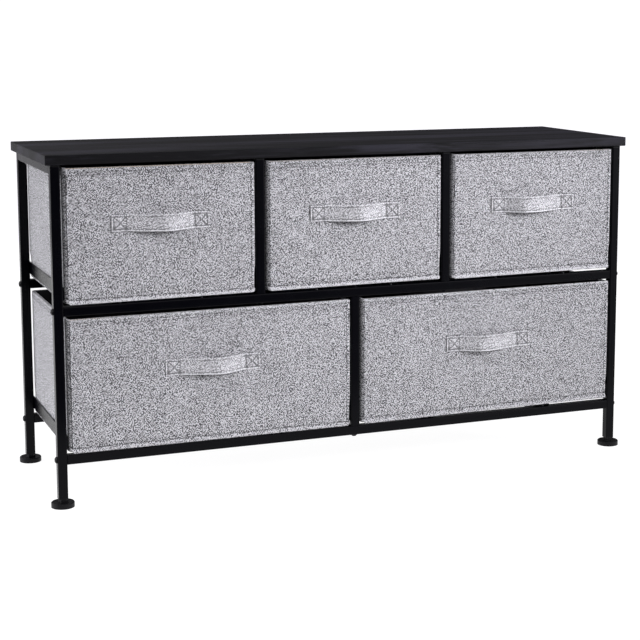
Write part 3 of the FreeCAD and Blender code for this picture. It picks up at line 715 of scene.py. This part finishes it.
class Strap:
    """The pull strap's run, from its left end to its right end: a flat sewn end, a slope out to the crown,
    a slope back and the other sewn end."""

    PATCH = 26.5 * MM
    THICK = 2.0 * MM
    EASE = 0.8 * MM
    # Radii of the bends at the crown and at the sewn ends.
    CROWN = 40 * MM
    FOLD = 3 * MM
    # How far the loop's lower edge hangs, and its upper edge's share of it.
    DROOP = 1.2 * MM
    UPPER_DROOP = 0.55
    # The edges are tucked in and roll up beside the tuck.
    TUCK = 0.4 * MM
    TUCK_REACH = 0.9 * MM
    ROLL = 0.3 * MM
    ROLL_LINE = 1.1 * MM
    ROLL_REACH = 1.4 * MM
    # The loop's waves, how far the stitching sinks in, and its share in the loop's two rows.
    SWAY = 0.35 * MM
    SINK = 0.35 * MM
    LOOP_ROWS = 0.25
    # Painted highlights on the lower and the upper edge and on the left and the right end, stronger below and
    # at the left where the floor and the left light fall,
    #     # painted shade in the seams, and where the painted highlight of the folded edges and of the falling
    #     diagonal lies.
    EDGE_PAINTED_HIGHLIGHT = (1.3, 0.4)
    END_PAINTED_HIGHLIGHT = (1.2, 0.4)
    SEAM_PAINTED_SHADE = 2.2
    FOLD_LINE = 1.2 * MM
    FOLD_REACH = 1.1 * MM
    DIAGONAL_LINE = 2.6 * MM
    DIAGONAL_REACH = 1.8 * MM

    def __init__(self, name):
        self.low, self.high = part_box(f"{name}_pull_strap")
        self.middle = (self.low + self.high) / 2
        self.half = (self.high.x - self.low.x) / 2
        self.half_width = (self.high.z - self.low.z) / 2 - self.EASE
        self.foot = self.half - self.PATCH
        peak = DRAWERS[name].peak * MM
        rise = self.high.y - self.low.y - self.THICK
        out, back = math.atan(rise / (self.foot + peak)), math.atan(rise / (self.foot - peak))
        crown_cut = self.CROWN * math.tan((out + back) / 2)
        fold_cuts = self.FOLD * math.tan(out / 2), self.FOLD * math.tan(back / 2)
        # Each stretch: its length and how far it turns away from the drawer.
        self.chain = (
            (self.PATCH - fold_cuts[0], 0.0),
            (self.FOLD * out, out),
            (math.hypot(rise, self.foot + peak) - crown_cut - fold_cuts[0], 0.0),
            (self.CROWN * (out + back), -out - back),
            (math.hypot(rise, self.foot - peak) - crown_cut - fold_cuts[1], 0.0),
            (self.FOLD * back, back),
            (self.PATCH - fold_cuts[1], 0.0),
        )
        self.length = sum(length for length, _ in self.chain)

    def at(self, run):
        """(point, outward normal) of the strap's centre line at a run from its left end."""
        x, stand, heading = self.middle.x - self.half, 0.0, 0.0
        for length, turn in self.chain:
            part = min(length, run)
            bend = turn * part / length
            chord = part * math.sin(bend / 2) / (bend / 2) if bend else part
            x += chord * math.cos(heading + bend / 2)
            stand += chord * math.sin(heading + bend / 2)
            heading += bend
            run -= part
        place = Vector((x, self.high.y - self.THICK / 2 - stand, 0))
        return place, Vector((-math.sin(heading), -math.cos(heading), 0))

    def patch_gap(self, co):
        """How far outside the nearest sewn end a point of the panel is, or a large number inside it."""
        x, z = abs(co.x - self.middle.x), abs(co.z - self.middle.z)
        gap = max(self.foot - x, x - self.half, z - self.half_width)
        return gap if gap > -0.1 * MM else 1.0

    def box(self, run, across):
        """A place on a sewn end, from the middle of its stitched box: (right, up, half the box)."""
        half_box = self.PATCH / 2 - STRAP_SEAM
        left = run < self.length / 2
        right = run - self.PATCH / 2 if left else run - self.length + self.PATCH / 2
        return right, across * half_box / (self.half_width - STRAP_SEAM), half_box

    def seam_at(self, run, across):
        """How much the stitching pulls the strap in: two rows along it, and a crossed box at each end."""
        row = dip(self.half_width - abs(across) - STRAP_SEAM, SEAM_WIDTH)
        right, up, half_box = self.box(run, across)
        if abs(right) >= self.PATCH / 2:
            return self.LOOP_ROWS * row
        pull = max(row, dip(half_box - abs(right), SEAM_WIDTH))
        if max(abs(right), abs(up)) < half_box:
            off_diagonal = (abs(right) - abs(up)) * 0.7
            pull = max(pull, dip(off_diagonal, SEAM_WIDTH))
        return pull

    def tone_at(self, run, across):
        """Painted highlights on the folded edges and below the falling diagonal, painted shade in the seams.
        """
        edge_paint_light = self.EDGE_PAINTED_HIGHLIGHT[0 if across < 0 else 1]
        end_paint_light = self.END_PAINTED_HIGHLIGHT[0 if run < self.length / 2 else 1]
        from_edge, from_end = self.half_width - abs(across), min(run, self.length - run)
        light = max(edge_paint_light * fade(from_edge - self.FOLD_LINE, self.FOLD_REACH),
                    end_paint_light * fade(from_end - self.FOLD_LINE, self.FOLD_REACH))
        right, up, half_box = self.box(run, across)
        if max(abs(right), abs(up)) < half_box:
            light = max(light, dip(right + up + self.DIAGONAL_LINE, self.DIAGONAL_REACH))
        return light - self.SEAM_PAINTED_SHADE * self.seam_at(run, across)

    def arch(self, run):
        """1 at the middle of the loop, 0 on the sewn ends."""
        share = (run - self.PATCH) / (self.length - 2 * self.PATCH)
        return max(0.0, 4.0 * share * (1.0 - share))

    def height(self, run, across):
        """The loop hangs a little, more at its lower edge."""
        share = 1.0 if across < 0 else self.UPPER_DROOP
        return self.middle.z + across - self.DROOP * self.arch(run) * share

    def face(self, run, across):
        """(front point, back point, outward normal) of the strap's cloth at a place on it."""
        point, normal = self.at(run)
        edge = self.half_width - abs(across)
        tuck = self.TUCK * dip(edge, self.TUCK_REACH)
        roll = self.ROLL * dip(edge - self.ROLL_LINE, self.ROLL_REACH)
        waves = noise.noise(Vector((run * 60, across * 40, self.middle.x * 30)))
        sway = self.SWAY * waves * self.arch(run)
        lift = Vector((0, 0, self.height(run, across)))
        front = self.THICK / 2 + roll - tuck + sway - self.SINK * self.seam_at(run, across)
        back = self.THICK / 2 - tuck - sway
        return point + normal * front + lift, point - normal * back + lift, normal


def make_strap(name, strap):
    """A flat ribbon laid along the strap's run, doubled to a back face and closed round its edge."""
    rolled = (0.5 * MM, 1.1 * MM, 1.8 * MM, 2.5 * MM)
    flat = strap.half_width - rolled[-1]
    bm = bmesh.new()
    bmesh.ops.create_grid(bm, x_segments=1, y_segments=1, size=0.5)
    bmesh.ops.scale(bm, vec=(strap.length, 2 * strap.half_width, 1), verts=bm.verts)
    slice_across(bm, 0, steps(-strap.length / 2, strap.length / 2, pitch=1.3 * MM))
    slice_across(bm, 1, [side * (strap.half_width - d) for side in (-1, 1) for d in rolled])
    slice_across(bm, 1, steps(-flat, flat, pitch=0.9 * MM))
    layer = bm.loops.layers.uv.new("cloth")
    for face in bm.faces:
        for loop in face.loops:
            loop[layer].uv = loop.vert.co.xy
    tone = bm.verts.layers.float.new("tone")
    backs = {}
    for vert in bm.verts:
        run, across = vert.co.x + strap.length / 2, vert.co.y
        vert[tone] = strap.tone_at(run, across)
        vert.co, backs[vert], _ = strap.face(run, across)
    doubled = bmesh.ops.duplicate(bm, geom=bm.verts[:] + bm.edges[:] + bm.faces[:])
    for vert, place in backs.items():
        doubled["vert_map"][vert].co = place
    bmesh.ops.reverse_faces(bm, faces=[g for g in doubled["geom"] if isinstance(g, bmesh.types.BMFace)])
    bmesh.ops.bridge_loops(bm, edges=[e for e in bm.edges if e.is_boundary])
    bmesh.ops.recalc_face_normals(bm, faces=bm.faces)
    add_piece(f"{name}_strap", bm, strap_fabric, f"{name}_drawer", [f"{name}_pull_strap"])


def make_strap_stitches(name, strap):
    """A row along each edge of the loop, and a crossed box on each sewn end."""
    bm = bmesh.new()

    def sew(start, end):
        """Stitches along a straight line of the flat strap, laid on its bent face."""
        start, end = Vector(start), Vector(end)
        count = max(1, round((end - start).length / STITCH_PITCH))
        step = (end - start).normalized() * 0.2 * MM
        for i in range(count):
            flat = start.lerp(end, (i + 0.5) / count)
            front, _, normal = strap.face(*flat)
            ahead, _, _ = strap.face(*(flat + step))
            add_stitch(bm, front + normal * STRAP_STITCH_LIFT, (ahead - front).normalized(), normal)

    edge = strap.half_width - STRAP_SEAM
    for side in (-1, 1):
        sew((strap.PATCH, side * edge), (strap.length - strap.PATCH, side * edge))
    for start in (0.0, strap.length - strap.PATCH):
        near, far = start + STRAP_SEAM, start + strap.PATCH - STRAP_SEAM
        corners = ((near, -edge), (far, -edge), (far, edge), (near, edge))
        for first, last in ((0, 1), (1, 2), (2, 3), (3, 0), (0, 2), (1, 3)):
            sew(corners[first], corners[last])
    add_piece(f"{name}_strap_stitches", bm, sewing_thread, f"{name}_drawer")


# ---------------------------------------------------------------- linings


# The cloth lies this far inside its node's box. The corners have a radius and segments.
LINING_CLOTH = 0.8 * MM
LINING_CORNER = (5 * MM, 3)
# How far it stands off the boards, with waves, and how far below the rim and above the floor it is loose.
LINING_SLACK = 0.9 * MM
LINING_WAVES = 17.0
RIM_EASE = 40 * MM
FLOOR_EASE = 6 * MM


def make_lining(name):
    """The inner bag, its cloth a little loose against the boards but not at its rim and on its floor."""
    low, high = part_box(f"{name}_lining")
    low = low + Vector((LINING_CLOTH, LINING_CLOTH, LINING_CLOTH * 0.6))
    high = high - Vector((LINING_CLOTH, LINING_CLOTH, 0))
    bm = block(low, high)
    take_out(bm, top_face(bm))
    bevel(bm, [e for e in bm.edges if not e.is_boundary], *LINING_CORNER)
    for axis in range(3):
        slice_across(bm, axis, steps(low[axis] + 6 * MM, high[axis] - 4 * MM, pitch=9 * MM))
    bmesh.ops.reverse_faces(bm, faces=bm.faces)
    bm.normal_update()
    shift = random_place()
    moves = []
    for vert in bm.verts:
        loose = ramp(high.z - vert.co.z, RIM_EASE) * ramp(vert.co.z - low.z, FLOOR_EASE)
        slack = LINING_SLACK * (1.0 + noise.noise((vert.co + shift) * LINING_WAVES)) * loose
        moves.append((vert, vert.normal * slack))
    for vert, move in moves:
        vert.co += move
    map_cloth(bm)
    add_piece(f"{name}_lining_bag", bm, lining_cloth, f"{name}_drawer", [f"{name}_lining"])


def make_drawers():
    for name in DRAWERS:
        panel = Panel(name)
        make_cover(name, panel)
        make_cover_stitches(name, panel)
        make_strap(name, panel.strap)
        make_strap_stitches(name, panel.strap)
        make_lining(name)


# ---------------------------------------------------------------- studio


DAYLIGHT = (1.0, 0.988, 1.035)
# The room's strength as the camera sees it, and the least of it that reaches the object.
ROOM_WHITE = 1.1
ROOM_FILL = 0.05
# Half the floor's side, and how far its middle lies behind the object's.
FLOOR_HALF = 1.6
FLOOR_BEHIND = 1.0


def add_spot(name, place, target, cone, power, radius):
    """A soft pool of light, brightest at its target."""
    light = bpy.data.lights.new(name, "SPOT")
    light.spot_size = math.radians(cone)
    light.spot_blend = 1.0
    light.energy = power
    light.color = DAYLIGHT
    light.shadow_soft_size = radius
    lamp = bpy.data.objects.new(name, light)
    bpy.context.scene.collection.objects.link(lamp)
    lamp.location = place
    lamp.rotation_euler = (Vector(target) - Vector(place)).to_track_quat("-Z", "Y").to_euler()


def make_floor():
    """A square of pale floor that ends a little before the front, so that the paint doesn't mirror it."""
    bm = bmesh.new()
    bmesh.ops.create_grid(bm, x_segments=2, y_segments=2, size=FLOOR_HALF)
    bmesh.ops.translate(bm, vec=(0.0, FLOOR_BEHIND, 0.0), verts=bm.verts)
    mesh = bpy.data.meshes.new("studio_floor")
    bm.to_mesh(mesh)
    bm.free()
    mesh.materials.append(studio_floor("studio_floor"))
    floor = bpy.data.objects.new("studio_floor", mesh)
    bpy.context.scene.collection.objects.link(floor)


def make_world():
    """A white room to the camera. It lights the object brightly from the left, softly from the other sides
    and above, and hardly from below."""
    world = bpy.data.worlds.new("studio")
    world.use_nodes = True
    bpy.context.scene.world = world
    graph = Graph(world.node_tree)
    x, y, z = graph.split(graph.node("ShaderNodeTexCoord", output="Generated"))
    left = (y * 0.29 - x * 0.96).smooth(0.7, 1.0) * z.smooth(-0.1, 0.1)
    behind = (y * 0.87 - x * 0.5).smooth(0.6, 0.98)
    front = (y * -1.0).smooth(0.2, 0.8) * z.smooth(0.0, 0.3)
    above = z.smooth(0.3, 0.9)
    right = (x * 0.8 - y * 0.6).smooth(0.8, 0.96)
    room = left * 8.8 + behind * 0.5 + front * 1.35 + above * 0.6 + right * 1.1 + ROOM_FILL
    seen = graph.node("ShaderNodeLightPath", output="Is Camera Ray")
    light = room * (1.0 - seen) + seen * ROOM_WHITE
    background = next(n for n in graph.tree.nodes if n.type == "BACKGROUND")
    graph.tree.links.new(light.link, background.inputs["Strength"])
    background.inputs["Color"].default_value = (*DAYLIGHT, 1.0)


def make_camera():
    """Looks from the left of the front and from a little above. Its frame is shifted, so that the sides
    stay nearly upright."""
    place, yaw, pitch = (-0.9395, -2.4872, 0.7466), 0.3827, 0.1416
    data = bpy.data.cameras.new("camera")
    data.sensor_width = 36.0
    data.lens = 88.520625
    data.shift_x = -0.0597
    data.shift_y = -0.12
    data.clip_start, data.clip_end = 0.05, 200.0
    camera = bpy.data.objects.new("camera", data)
    bpy.context.scene.collection.objects.link(camera)
    camera.location = place
    camera.rotation_euler = (math.pi / 2 - pitch, 0.0, -yaw)
    bpy.context.scene.camera = camera


make_camera()
make_world()
add_spot("key", place=(2.6, -1.85, 1.45), target=(0.18, -0.14, 0.58), cone=27, power=1000.0, radius=0.55)
make_floor()
bpy.context.scene.view_settings.view_transform = "Standard"

dress_cad_nodes()
make_drawers()
